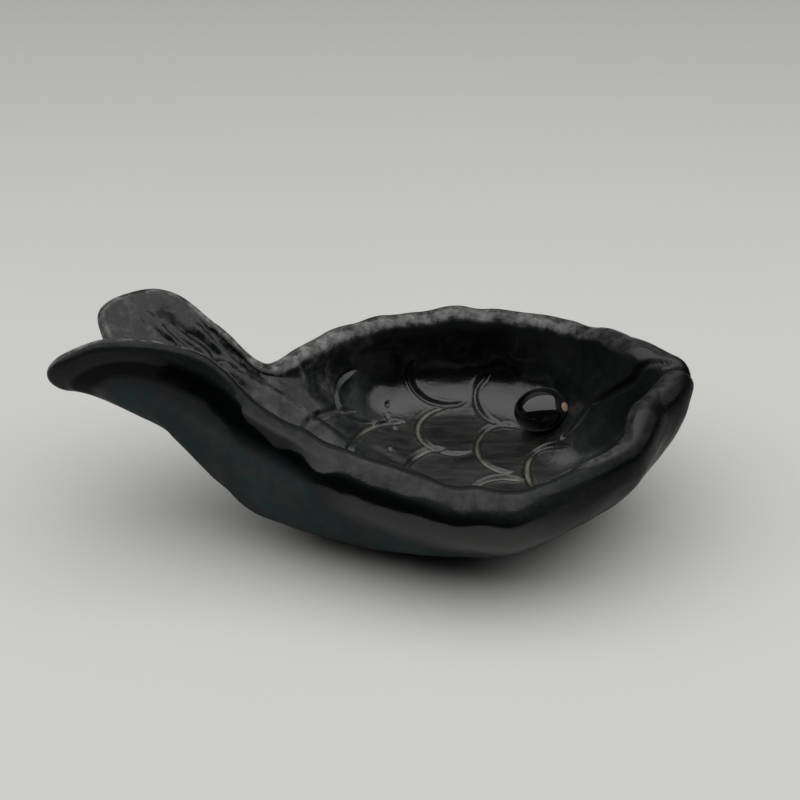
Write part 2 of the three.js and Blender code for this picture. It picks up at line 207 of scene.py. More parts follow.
class Shell:
    """The clay wall as one surface over a place round the rim and a share of the way up."""

    def __init__(self, clay, marks):
        self.clay, self.marks = clay, marks
        c, bowl, fin = clay, self.bowl, self.fin
        stations = [
            bowl(0.00, -0.08, 1.05 * c.mouth_rise, 0, (0.45, -0.7, 0.5), c.lip_wall),  # 0 mouth
            bowl(0.09, 0.22, 1.0 * c.mouth_rise, 20, (0.45, -2.6, 0.5), c.lip_wall),  # 1 upper lip
            bowl(0.23, 0.72, 0.25 * c.mouth_rise, 46, (0.7, 0, 0.5)),  # 2 cheek
            bowl(0.50, 0.98, 0, 84, (0.95, -0.5, 0.45)),  # 3 back
            bowl(0.80, 0.72, 0.25 * c.root_rise, 120, (0.8, 0, 0.45), lift=0.2),  # 4
            bowl(1.00, 0.26, 0.3 * c.root_rise, 140, (0.4, -3, 0.75), lift=0.5),  # 5 tail root at the back
            fin([0.24, 0.65, 0.745], 150, [0.20, 0.20, 0.46], 0.2, 0.6, 0.84),  # 6 back lobe
            fin([0.52, 0.95, 0.90], 162, [0.42, 0.00, 0.66], 0.05, 1, 0.84),  # 7
            fin([0.80, 0.42, 0.93], 171, [0.62, -0.10, 0.75], 0.10, 1, 0.7),  # 8 its tip
            fin([0.71, -0.20, 0.76], 180, [0.51, -0.25, 0.52], 0.15),  # 9 notch
            fin([0.90, -0.74, 0.80], 188, [0.62, -0.45, 0.71], 0.25),  # 10 belly lobe, lower corner
            fin([0.97, -0.94, 0.91], 196, [0.66, -0.75, 0.87], 0.35),  # 11 its tip
            fin([0.70, -0.96, 1.03], 205, [0.58, -1.05, 0.93], 0.72),  # 12
            fin([0.28, -0.86, 0.93], 215, [0.28, -1.40, 0.66], 1.22),  # 13
            bowl(1.00, -0.45, 1.6 * c.root_rise, 227, (1.35, 10, 0.93), lift=0.8),  # 14 tail root at the belly
            bowl(0.79, -0.70, 0.6 * c.root_rise, 246, (1.0, 11, 0.84), lift=0.3),  # 15
            bowl(0.44, -0.98, 0, 280, (0.15, 13, 0.66)),  # 16 belly
            bowl(0.17, -0.74, 0.5 * c.mouth_rise, 316, (0.3, 0, 0.6), 1.15 * c.wall),  # 17 throat
            bowl(0.08, -0.39, 0.85 * c.mouth_rise, 340, (0.4, 1.5, 0.5), 1.1 * c.lip_wall),  # 18 lower lip
        ]
        self.stations = np.array([station[:5] for station in stations])
        rims = self.stations[:, 3]
        across = unit((np.roll(rims, -1, axis=0) - np.roll(rims, 1, axis=0)) * (1, 1, 0))
        swell = np.array([station[5] for station in stations])
        self.stations[:, 2] += swell[:, None] * np.stack([across[:, 1], -across[:, 0], 0 * swell], axis=-1)
        self.count = len(self.stations)
        fine = np.linspace(0, self.count, 40 * self.count + 1)
        steps = np.linalg.norm(np.diff(self.middle(fine, np.ones_like(fine)), axis=0), axis=1)
        self.fine, self.lengths = fine, np.concatenate([[0], np.cumsum(steps)])
        self.nets = self.draw_nets()

    def foot_edge(self, degrees):
        """A point of the foot's oval edge, at half the floor's thickness."""
        c, a = self.clay, math.radians(degrees)
        bend = c.foot_bend * ((1 - math.cos(a)) / 2) ** 2
        x = c.foot_forward + c.foot_length / 2 * math.cos(a)
        return np.array([x, c.foot_width / 2 * math.sin(a) - bend, c.floor / 2])

    def bowl(self, along, across, rise, foot_angle, bulge, wall=None, lift=0):
        """A station of the bowl: the four handles of its wall, how it is made, and how far it swells.

        Its rim is a place along and across the bowl, a rise above the flank's. bulge holds the share of the run to
        the rim over which the wall leaves the foot flat, how far the wall swells square to the rim in millimetres,
        and at which share of the height.
        """
        c, foot = self.clay, self.foot_edge(foot_angle)
        flare, swell, hood = bulge
        rim = np.array([c.bowl_length * (1 - along), across * c.bowl_width / 2, c.rim_height + rise])
        low = foot + flare * (rim - foot) * (1, 1, 0)
        high = np.array([*rim[:2], foot[2] + hood * (rim[2] - foot[2])])
        return foot, low, high, rim, np.array([wall or c.wall, RIM_SEAM, lift * c.root_fill]), swell * MM

    def fin(self, rim_place, foot_angle, knee_place, flare, lift=1, seam=LOBE_SEAM):
        """A station behind the tail root: the wall climbs the ramp to the knee and turns up there."""
        c, foot = self.clay, self.foot_edge(foot_angle)
        scale = np.array([-c.tail_length, c.tail_spread / 2, c.tail_height])
        rim, knee = np.array(rim_place) * scale, np.array(knee_place) * scale
        low = foot + flare * (rim - foot) * (1, 1, 0)
        return foot, low, knee, rim, np.array([c.lobe_wall, seam, lift * c.root_fill]), 0

    def handles(self, place):
        """The stations' handles on closed curves round the fish."""
        i = np.floor(place).astype(int)
        t = (place - i)[..., None, None]
        p0, p1, p2, p3 = (self.stations[(i + k) % self.count] for k in (-1, 0, 1, 2))
        m1, m2 = (p2 - p0) / 2, (p3 - p1) / 2
        return (
            p1 + t * m1 + t * t * (3 * (p2 - p1) - 2 * m1 - m2) + t * t * t * (2 * (p1 - p2) + m1 + m2)
        )

    def made(self, place):
        """Thickness of the rim, share of the wall at which its edge piece is joined on, and the fill on the inside."""
        return np.moveaxis(self.handles(place)[..., 4, :], -1, 0)

    def middle(self, place, up):
        """A point half-way through the clay."""
        h, u = self.handles(place), up[..., None]
        v = 1 - u
        return v**3 * h[..., 0, :] + 3 * u * v**2 * h[..., 1, :] + 3 * u**2 * v * h[..., 2, :] + u**3 * h[..., 3, :]

    def directions(self, place, up):
        """Along the rim, up the wall, and out through the clay."""
        along = (self.middle(place + EASE, up) - self.middle(place - EASE, up)) / (2 * EASE)
        h, u = self.handles(place), up[..., None]
        d = np.diff(h[..., :4, :], axis=-2)
        rise = 3 * ((1 - u) ** 2 * d[..., 0, :] + 2 * u * (1 - u) * d[..., 1, :] + u**2 * d[..., 2, :])
        return along, rise, unit(np.cross(along, rise))

    def length_at(self, place):
        """Length of the rim from the mouth slit to a place."""
        return np.interp(np.mod(place, self.count), self.fine, self.lengths)

    def draw_nets(self):
        """The two skins on a net of places and shares of the wall. The potter sponges them smooth along the tail."""
        place, up = np.meshgrid(np.arange(self.count * NET) / NET, np.linspace(0, 1, NET_UP + 1), indexing="ij")
        first, last = SPONGED
        tail = (smooth((place - first) / 0.6) * smooth((last - place) / 0.6))[:, 1:-1, None]

        def sponge(net, free=False):
            for _ in range(SPONGE_STROKES):
                sides = np.roll(net, 1, axis=0) + np.roll(net, -1, axis=0)
                near = sides[:, 1:-1] + net[:, :-2] + net[:, 2:]
                edge = (sides[:, -1] + 2 * net[:, -2]) / 4 - net[:, -1]
                net[:, 1:-1] += 0.5 * tail * (near / 4 - net[:, 1:-1])
                if free:
                    net[:, -1] += 0.5 * tail[:, 0] * edge
            return net

        wall, _, fill = self.made(place)
        level = 1 - smooth(up / FLOOR_REACH)
        half = (self.clay.floor * level + wall * (1 - level)) / 2
        _, _, out = self.directions(place, up)
        away = sponge(out * (1 - level)[..., None] + np.array([0, 0, -1]) * level[..., None], True)
        offset = half[..., None] * unit(away)
        heap = np.stack([0 * up, 0 * up, fill * (1 - up) ** 1.5 * (0.5 + 1.5 * up + 7 * up**2)], axis=-1)
        middle = self.middle(place, up)
        return {1: sponge(middle + offset), -1: sponge(middle - offset + heap)}

    def skin(self, place, up, side):
        """A point of the wall's skin, on a smooth sheet through the net."""
        net, (i, f), (j, g) = self.nets[side], split(place * NET), split(up * NET_UP)
        total = 0
        for a, wa in zip((-1, 0, 1, 2), spline(f)):
            for b, wb in zip((-1, 0, 1, 2), spline(g)):
                total = total + (wa * wb)[..., None] * net[(i + a) % len(net), np.clip(j + b, 0, NET_UP)]
        return total

    def facing(self, place, up, side):
        """Along the rim, and the way that a skin faces."""
        e = 1e-3
        along = self.skin(place + e, up, side) - self.skin(place - e, up, side)
        rise = self.skin(place, np.minimum(up + e, 1), side) - self.skin(place, np.maximum(up - e, 0), side)
        return along, side * unit(np.cross(along, rise))

    def pinch(self, place, up):
        """How much a finger's pinch takes off each side."""
        stroke = 0.5 * (1 - np.cos(2 * np.pi * self.length_at(place) / self.clay.pinch_pitch))
        return self.clay.pinch_depth / 2 * stroke * up**2

    def waver(self, place, up):
        """How far the rim rises and falls round the bowl."""
        turn = 2 * np.pi * self.length_at(place) / self.lengths[-1]
        waves = np.sin(17 * turn + 1) + np.sin(25 * turn + 3) + 0.6 * np.sin(34 * turn)
        first, last = WAVERED
        bowl = 1 - smooth((place - last) / WAVER_EASE) * smooth((first - place) / WAVER_EASE)
        return self.marks.wobble * waves * bowl * smooth((up - 0.4) / 0.6)

    def ray_depth(self, place, up):
        """Depth of the grooves that a finger drew up the inside of each lobe."""
        first, last = RAY_STATIONS
        half = (last - first) / 2
        stroke = 0.5 - 0.5 * np.cos(2 * np.pi * RAYS * np.mod(place - first, half) / half)
        depth = self.clay.ray_depth * stroke * np.sin(np.pi * np.clip((up - RAY_START) / (1 - RAY_START), 0, 1))
        return np.where((place > first) & (place < last), depth, 0)

    def wall(self, place, up, side):
        """The skin with its pinches and rays, and the waver of the hand-cut rim."""
        _, face = self.facing(place, up, side)
        off = self.pinch(place, up) + (self.ray_depth(place, up) if side < 0 else 0)
        waver = self.waver(place, up)[..., None] * np.array([0, 0, 1])
        return self.skin(place, up, side) - off[..., None] * face + waver

    def top(self, place):
        """Share of the wall that the rim stands at. The lips round off towards their slit."""
        r, at = self.clay.lip_round, self.length_at(place)
        from_slit = np.minimum(at, self.lengths[-1] - at)
        short = np.clip(r - from_slit, 0, r)
        _, rise, _ = self.directions(place, np.ones_like(place))
        return 1 - (r - np.sqrt(r * r - short**2)) / np.linalg.norm(rise, axis=-1)

    def crest(self, place, turn):
        """A point of the rounded rim between the two skins. turn goes from 0 outside to 1 inside."""
        top = self.top(place)
        outside, inside = self.wall(place, top, 1), self.wall(place, top, -1)
        half = (outside - inside) / 2
        along, _, _ = self.directions(place, top)
        up = unit(np.cross(half, along)) * np.linalg.norm(half, axis=-1, keepdims=True)
        angle = np.pi * turn[..., None]
        return (outside + inside) / 2 + np.cos(angle) * half + np.sin(angle) * up


def split(t):
    """Whole steps, and the share of the next one."""
    i = np.floor(t).astype(int)
    return i, t - i


def spline(t):
    """Weights of the four values around a share of a step."""
    return (
        0.5 * (-t + 2 * t**2 - t**3), 0.5 * (2 - 5 * t**2 + 3 * t**3),
        0.5 * (t + 4 * t**2 - 3 * t**3), 0.5 * (t**3 - t**2),
    )


def round_places(shell):
    """Places round the rim: evenly spaced within each piece, with one on every joint."""
    stops = [first for first, _ in RIM_PIECES.values()] + [shell.count]
    mid = shell.middle(shell.fine, np.full_like(shell.fine, 0.7))
    run = np.concatenate([[0], np.cumsum(np.linalg.norm(np.diff(mid, axis=0), axis=1))])
    ends = np.interp(stops, shell.fine, run)
    counts = np.round(np.diff(ends) / run[-1] * ROUND).astype(int)
    counts[1] += ROUND - counts.sum()
    spots = [np.linspace(a, b, n, endpoint=False) for a, b, n in zip(ends, ends[1:], counts)]
    joints = np.concatenate([[0], np.cumsum(counts)])
    return np.interp(np.concatenate(spots), run, shell.fine), joints


def ladder(start, stop, n):
    """n steps from start to stop, one row for each place."""
    t = np.linspace(0, 1, n + 1)
    return start[:, None] * (1 - t) + stop[:, None] * t


def sections(shell, places):
    """A cross-section of the wall at each place: floor edge, up the inside, over the crest, down to the foot."""
    _, seam, fill = shell.made(places)
    slanted = seam + SLANT * fill / shell.clay.root_fill
    zero, top = np.zeros_like(places), shell.top(places)
    inside = np.hstack([ladder(zero, seam, LOW_IN), ladder(seam, top, HIGH)[:, 1:]])
    outside = np.hstack([ladder(top, slanted, HIGH), ladder(slanted, zero, LOW_OUT)[:, 1:]])
    turn = np.broadcast_to(np.linspace(1, 0, CREST + 1)[1:-1], (len(places), CREST - 1))
    wide = lambda n: np.repeat(places[:, None], n, axis=1)
    points = np.hstack([
        shell.wall(wide(inside.shape[1]), inside, -1),
        shell.crest(wide(turn.shape[1]), turn),
        shell.wall(wide(outside.shape[1]), outside, 1),
    ])
    up = np.hstack([inside, np.ones_like(turn), outside])
    side = np.hstack([-np.ones_like(inside), np.cos(np.pi * turn), np.ones_like(outside)])
    return points, up, side


IN_SEAM = LOW_IN
OUT_SEAM = LOW_IN + HIGH + CREST + HIGH
COLUMNS = OUT_SEAM + LOW_OUT + 1


def strip(ids, a, b):
    """Quads between two columns of a closed or open run of sections."""
    return np.stack([ids[:-1, a], ids[:-1, b], ids[1:, b], ids[1:, a]], axis=-1)


def quads(ids, first, last):
    """Quads of all the strips from one column to another."""
    return np.concatenate([strip(ids, j, j + 1) for j in range(first, last)])


def disc(ring, ids, start_id, level, rings, bottom):
    """Rings of points inside a closed ring, level in the middle, and their faces: new points, quads and a fan."""
    shares = np.linspace(1, 0, rings + 1)[1:]
    middle = ring.mean(axis=0)
    points = middle + shares[:-1, None, None] * (ring - middle)
    points[..., 2] = level + shares[:-1, None] ** 2 * (ring[:, 2] - level)
    rows = np.vstack([ids, start_id + np.arange(points[..., 0].size).reshape(rings - 1, -1)])
    rows = np.hstack([rows, rows[:, :1]])
    centre = np.full(len(ring), start_id + (rings - 1) * len(ring))
    walls = np.stack([rows[:-1, :-1], rows[:-1, 1:], rows[1:, 1:], rows[1:, :-1]], axis=-1).reshape(-1, 4)
    fan = np.stack([rows[-1, :-1], rows[-1, 1:], centre], axis=-1)
    points = np.vstack([points.reshape(-1, 3), [[*middle[:2], level]]])
    return (points, walls[:, ::-1], fan[:, ::-1]) if bottom else (points, walls, fan)


def new_mesh(name, points, faces):
    mesh = bpy.data.meshes.new(name)
    mesh.from_pydata(points, [], faces)
    mesh.validate()
    return mesh


def link(name, mesh):
    piece = bpy.data.objects.new(name, mesh)
    bpy.context.scene.collection.objects.link(piece)
    return piece


def gather(items, key, width=1):
    """A value of every item of a mesh, as an array."""
    values = np.zeros(len(items) * width, np.float32)
    items.foreach_get(key, values)
    return values.reshape(-1, width) if width > 1 else values


def write(mesh, name, values):
    """Keeps a value for each point of a mesh."""
    mesh.attributes.new(name, "FLOAT", "POINT").data.foreach_set("value", np.asarray(values, np.float32))


class Wire:
    """A node's output that takes part in Python arithmetic. Each operator adds a Math node."""

    def __init__(self, board, socket):
        self.board, self.socket = board, socket

    def math(self, operation, *values):
        return self.board.node("ShaderNodeMath", {"operation": operation}, dict(enumerate(values)))

    def __add__(self, other):
        return self.math("ADD", self, other)

    def __sub__(self, other):
        return self.math("SUBTRACT", self, other)

    def __rsub__(self, other):
        return self.math("SUBTRACT", other, self)

    def __mul__(self, other):
        return self.math("MULTIPLY", self, other)

    def __truediv__(self, other):
        return self.math("DIVIDE", self, other)

    def __rtruediv__(self, other):
        return self.math("DIVIDE", other, self)

    __radd__, __rmul__ = __add__, __mul__

    def clamp(self):
        return self.board.node("ShaderNodeClamp", {}, {0: self})

    def ramp(self, low, high):
        """0 below low, 1 above high, and smooth between them."""
        settings = {"interpolation_type": "SMOOTHSTEP"}
        return self.board.node("ShaderNodeMapRange", settings, {0: self, 1: low, 2: high, 3: 0.0, 4: 1.0})


class Board:
    """A node tree that nodes are added to."""

    def __init__(self, tree):
        self.tree = tree
        tree.nodes.clear()

    def node(self, kind, settings=None, values=None, out=0):
        """Adds a node, with its settings first and then the values or links of its sockets."""
        node = self.tree.nodes.new(kind)
        for key, value in (settings or {}).items():
            setattr(node, key, value)
        for key, value in (values or {}).items():
            if isinstance(value, Wire):
                self.tree.links.new(value.socket, node.inputs[key])
            else:
                node.inputs[key].default_value = value
        return Wire(self, node.outputs[out]) if node.outputs else node

    def blend(self, share, a, b):
        """Mixes two colours."""
        return self.node("ShaderNodeMix", {"data_type": "RGBA"}, {0: share, 6: a, 7: b}, out=2)

    def noise(self, where, scale, detail=3.0, rough=0.5, offset=None):
        """Soft random spots, scale of them to a metre."""
        if offset:
            where = self.node("ShaderNodeVectorMath", {"operation": "ADD"}, {0: where, 1: offset})
        values = {"Vector": where, "Scale": scale, "Detail": detail, "Roughness": rough}
        return self.node("ShaderNodeTexNoise", {}, values, "Fac")


def incising_tree():
    """Presses lumps into a clay surface and cuts lines into it, with a burr beside each."""
    tree = bpy.data.node_groups.new("Incised clay", "GeometryNodeTree")
    ports = {}
    for name, kind in (
        ("Clay", "NodeSocketGeometry"), ("Lines", "NodeSocketObject"), ("Burr", "NodeSocketFloat"),
        ("Lump size", "NodeSocketFloat"), ("Lump height", "NodeSocketFloat"), ("Glaze", "NodeSocketMaterial"),
    ):
        ports[name] = tree.interface.new_socket(name, in_out="INPUT", socket_type=kind).identifier
    tree.interface.new_socket("Clay", in_out="OUTPUT", socket_type="NodeSocketGeometry")
    b = Board(tree)
    given = b.node("NodeGroupInput").socket.node.outputs
    given = {socket.name: Wire(b, socket) for socket in given if socket.name}
    lines = b.node("GeometryNodeObjectInfo", {}, {"Object": given["Lines"]}, "Geometry")
    where = b.node("GeometryNodeInputPosition")
    normal = b.node("GeometryNodeInputNormal")
    away = b.node("GeometryNodeProximity", {"target_element": "EDGES"}, {0: lines}, "Distance")
    nearest = b.node("GeometryNodeSampleNearest", {"domain": "POINT"}, {"Geometry": lines})

    def of_line(name):
        value = b.node("GeometryNodeInputNamedAttribute", {"data_type": "FLOAT"}, {"Name": name})
        return b.node(
            "GeometryNodeSampleIndex", {"data_type": "FLOAT", "domain": "POINT"},
            {"Geometry": lines, "Value": value, "Index": nearest},
        )

    reach = away / of_line("half_width")
    groove = 1 - reach.ramp(0.0, 1.0)
    beside = reach.ramp(0.8, 1.25) * (1 - reach.ramp(1.25, 2.1))
    calm = b.node("GeometryNodeInputNamedAttribute", {"data_type": "FLOAT"}, {"Name": "calm"})
    size = 1 / given["Lump size"]
    # More in than out, so that the lumps stay inside the packed clay
    lumps = (b.noise(where, size, 1.5) - 0.59) * given["Lump height"] * 2
    lift = beside * given["Burr"] - groove * of_line("depth") + lumps * (1 - calm)
    offset = b.node("ShaderNodeVectorMath", {"operation": "SCALE"}, {0: normal, "Scale": lift})
    patchy_wash_and_highlight = b.noise(where, 90.0, 2.0).ramp(0.35, 0.65)
    kept = b.node(
        "GeometryNodeStoreNamedAttribute", {"data_type": "FLOAT", "domain": "POINT"},
        {"Geometry": given["Clay"], "Name": "groove", "Value": groove * of_line("wash") * (0.06 + 0.48 * patchy_wash_and_highlight)},
    )
    moved = b.node("GeometryNodeSetPosition", {}, {"Geometry": kept, "Offset": offset})
    whole = b.node("GeometryNodeRealizeInstances", {}, {0: moved})
    done = b.node("GeometryNodeSetMaterial", {}, {"Geometry": whole, "Material": given["Glaze"]})
    b.node("NodeGroupOutput", {}, {0: done})
    return tree, ports


# Lines are drawn on a sheet that leans back over the bowl, in millimetres from the foot's centre, and pressed
# through it. Scale arcs: middle, radii, and the arc's ends in degrees
SCALES = [
    ((-20.5, 26.5), (9.6, 7.7), (118, 278)), ((-28.5, 14.0), (10.0, 8.3), (70, 200)),
    ((-14.0, 11.0), (12.2, 8.0), (80, 215)), ((0.0, 32.0), (10.5, 8.3), (155, 300)),
    ((2.0, 17.0), (10.2, 6.2), (100, 292)), ((-2.5, 4.0), (10.0, 8.0), (80, 210)),
    ((15.5, 25.8), (7.9, 7.2), (120, 262)), ((15.5, 12.2), (8.0, 6.2), (62, 275)),
    ((14.0, -2.0), (10.0, 6.8), (60, 200)), ((29.0, 6.0), (8.8, 7.0), (75, 240)),
]
UPPER_SCALES, UPPER_WASH = 20, 0.3  # arcs above this place hold less wash
MOUTH_CORNER = (36.5, 23.5)
# Other cuts: points in the line, width and depth to those of a scale, wash, and the stops that it runs through
CUTS = [
    (90, 1.1, 1.8, 0.1, [(56, 34), (51, 34.5), (47.5, 33), (46, 30), (41.5, 27), MOUTH_CORNER]),  # mouth
    (40, 1.0, 1.0, 0.6, [MOUTH_CORNER, (33, 18.5), (29.5, 14.5)]),  # from its corner to the floor
    (60, 1.9, 1.7, 0.0, [(-67.5, 43), (-64, 40.7), (-60.2, 37.6), (-57.3, 33)]),  # gouges along the back lobe
    (60, 1.3, 0.9, 0.0, [(-72.5, 44.5), (-67, 39.5), (-63, 36.5)]),
    (60, 1.6, 1.3, 0.0, [(-61.7, 44), (-58.6, 40.3), (-55.4, 36.5), (-53, 34.7)]),
    (60, 1.1, 0.6, 0.0, [(-78.5, 47), (-74.5, 42.5), (-70, 39)]),
    (60, 4.4, 1.1, 0.0, [(59.5, 28.5), (57.3, 23.6), (54.7, 17), (51.5, 9.5)]),  # thumb's hollow down the lower lip
    # Tool lines along the lower lip's ridge; their wash is painted lighter as the ridge's highlight
    (80, 0.7, 0.5, 0.5, [(57.7, 32.9), (54.7, 29.7), (52.1, 25.7), (50.8, 20.9), (48.6, 14.3), (46.8, 10.3)]),
]
DENTS = [(-16.4, 24), (-16.4, 20.4), (-14.5, 17.3), (-15.7, 11.8), (49, 26), (54, 29.5)]
SHEET_TILT = math.radians(33)


@cache
def formed_dish():
    """The whole shell, formed and incised: its points, normals and marks, and the ids of its sections."""
    clay, marks = bpy.context.scene.fish_clay, bpy.context.scene.fish_marks
    shell = Shell(clay, marks)
    places, joints = round_places(shell)
    grid, up, side = sections(shell, places)
    ids = np.arange(ROUND * COLUMNS).reshape(ROUND, COLUMNS)
    closed = np.vstack([ids, ids[:1]])
    floor, *floor_faces = disc(grid[:, 0], ids[:, 0], ids.size, clay.floor, FLOOR_RINGS, False)
    foot, *foot_faces = disc(grid[:, -1], ids[:, -1], ids.size + len(floor), 0, FOOT_RINGS, True)
    points = np.vstack([grid.reshape(-1, 3), floor, foot]) + FOOT_CENTRE - (clay.foot_forward, 0, 0)
    up = np.concatenate([up.ravel(), np.zeros(len(floor) + len(foot))])
    side = np.concatenate([side.ravel(), -np.ones(len(floor)), np.ones(len(foot))])
    middle = [face for group in (*floor_faces, *foot_faces) for face in group.tolist()]
    faces = quads(closed, 0, COLUMNS - 1).tolist() + middle
    open_faces = quads(closed, 0, LOW_IN + HIGH + CREST // 2).tolist()
    open_faces += [face for group in floor_faces for face in group.tolist()]
    formed, normals, groove = incise(points, faces, line_mesh(points, open_faces, marks), marks)
    return {
        "shell": shell, "points": formed, "normals": normals, "marks": {"groove": groove, "up": up, "side": side},
        "ids": closed, "joints": joints, "middle": middle,
    }


def incise(points, faces, lines, marks):
    """Cuts the lines into the clay and presses its lumps: the new points, their normals and how they are cut."""
    mesh = new_mesh("clay", points, faces)
    write(mesh, "calm", np.clip(1 - points[:, 2] / CALM, 0, 1))
    clay = link("clay", mesh)
    tree, ports = incising_tree()
    modifier = clay.modifiers.new("Incise", "NODES")
    modifier.node_group = tree
    modifier[ports["Lines"]] = lines
    modifier[ports["Burr"]] = marks.burr
    modifier[ports["Lump size"]] = marks.lump_size
    modifier[ports["Lump height"]] = marks.lump_height
    modifier[ports["Glaze"]] = glaze()
    done = bpy.data.meshes.new_from_object(clay.evaluated_get(bpy.context.evaluated_depsgraph_get()))
    bpy.data.objects.remove(clay)
    bpy.data.objects.remove(lines)
    groove = gather(done.attributes["groove"].data, "value")
    return gather(done.vertices, "co", 3), gather(done.vertex_normals, "vector", 3), groove


def curve(stops, count):
    """A smooth line through the stops."""
    stops = np.array(stops, float)
    i, f = split(np.linspace(0, len(stops) - 1 - 1e-9, count))
    around = [stops[np.clip(i + k, 0, len(stops) - 1)] for k in (-1, 0, 1, 2)]
    return sum(w[:, None] * p for w, p in zip(spline(f), around))


def press(tree, drawn):
    """Presses a drawn line through the leaning sheet on the clay that faces it."""
    into = Vector((0, math.cos(SHEET_TILT), -math.sin(SHEET_TILT)))
    pressed = []
    for x, s in drawn * MM:
        start = Vector(FOOT_CENTRE) + Vector((x, s * math.sin(SHEET_TILT), s * math.cos(SHEET_TILT))) - 0.2 * into
        hit, normal, _, _ = tree.ray_cast(start, into)
        while hit and normal.dot(into) > 0:
            hit, normal, _, _ = tree.ray_cast(hit + 1e-5 * into, into)
        if hit:
            pressed.append(hit)
    return pressed


def line_mesh(points, faces, marks):
    """The lines that are cut into the clay. Their points hold the cut's half width and depth, and its wash."""
    tree = BVHTree.FromPolygons(points.tolist(), faces)
    width, depth = marks.line_width, marks.line_depth
    lines = []
    for (x, s), (along, up), (start, stop) in SCALES:
        a = np.radians(np.linspace(start, stop, 90))
        drawn = np.stack([x + along * np.cos(a), s + up * np.sin(a)], axis=-1)
        lines.append((drawn, width, depth, UPPER_WASH if s > UPPER_SCALES else 1.0))
    for count, wide, deep, wash, stops in CUTS:
        lines.append((curve(stops, count), wide * width, deep * depth, wash))
    for x, s in DENTS:
        lines.append((curve([(x - 0.6, s), (x + 0.6, s - 0.4)], 4), 1.1 * width, 0.6 * depth, 0.3))
    spots, edges, half, deep, wash = [], [], [], [], []
    for drawn, line_width, line_depth, line_wash in lines:
        run = press(tree, drawn)
        edges += [(len(spots) + k, len(spots) + k + 1) for k in range(len(run) - 1)]
        spots += run
        t = np.linspace(0, 1, len(run))
        ends = np.sqrt(np.clip(np.minimum(t, 1 - t) / 0.1, 0.15, 1))
        wander = 1 + 0.12 * np.sin(9 * t + len(spots))
        half += (line_width / 2 * ends * wander).tolist()
        deep += (line_depth * ends * wander).tolist()
        wash += [line_wash] * len(run)
    mesh = bpy.data.meshes.new("lines")
    mesh.from_pydata(spots, edges, [])
    write(mesh, "half_width", half)
    write(mesh, "depth", deep)
    write(mesh, "wash", wash)
    return link("lines", mesh)


def hand_over(name, mesh, material):
    """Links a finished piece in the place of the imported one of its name."""
    mesh.materials.append(material)
    made = link(name, mesh)
    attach(made, "root")
    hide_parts(name)


def piece(name, surface, joints):
    """Makes a piece of the dish from faces of the formed shell. Its joint faces keep their own flat normals."""
    dish = formed_dish()
    faces = [list(f) for f in surface] + [list(f) for f in joints]
    used = np.unique([corner for face in faces for corner in face])
    new_id = np.full(len(dish["points"]), -1)
    new_id[used] = np.arange(len(used))
    mesh = bpy.data.meshes.new(name)
    mesh.from_pydata(dish["points"][used], [], [new_id[f].tolist() for f in faces])
    for mark, values in dish["marks"].items():
        write(mesh, mark, values[used])
    mesh.shade_smooth()
    corners = np.zeros(len(mesh.loops), int)
    mesh.loops.foreach_get("vertex_index", corners)
    normals = dish["normals"][used][corners]
    flat = gather(mesh.polygons, "normal", 3)[len(surface) :]
    normals[sum(len(f) for f in surface) :] = np.repeat(flat, [len(f) for f in joints], axis=0)
    mesh.normals_split_custom_set(normals)
    hand_over(name, mesh, glaze())


def edge_piece(name):
    """One of the pieces round the rim: its skin, the joint along its bottom and the joint at each end."""
    dish = formed_dish()
    k = list(RIM_PIECES).index(name)
    ids = dish["ids"][dish["joints"][k] : dish["joints"][k + 1] + 1]
    surface = quads(ids, IN_SEAM, OUT_SEAM)
    bottom = strip(ids, OUT_SEAM, IN_SEAM)
    rungs = np.arange((OUT_SEAM - IN_SEAM) // 2)
    a, b = IN_SEAM + rungs, OUT_SEAM - rungs
    first = np.stack([ids[0, a + 1], ids[0, a], ids[0, b], ids[0, b - 1]], axis=-1)
    last = np.stack([ids[-1, a], ids[-1, a + 1], ids[-1, b - 1], ids[-1, b]], axis=-1)
    piece(name, surface, np.concatenate([bottom, first, last]))


def new_material(name):
    material = bpy.data.materials.new(name)
    material.use_nodes = True
    return material, Board(material.node_tree)


def rgba(c):
    return (*c, 1.0)


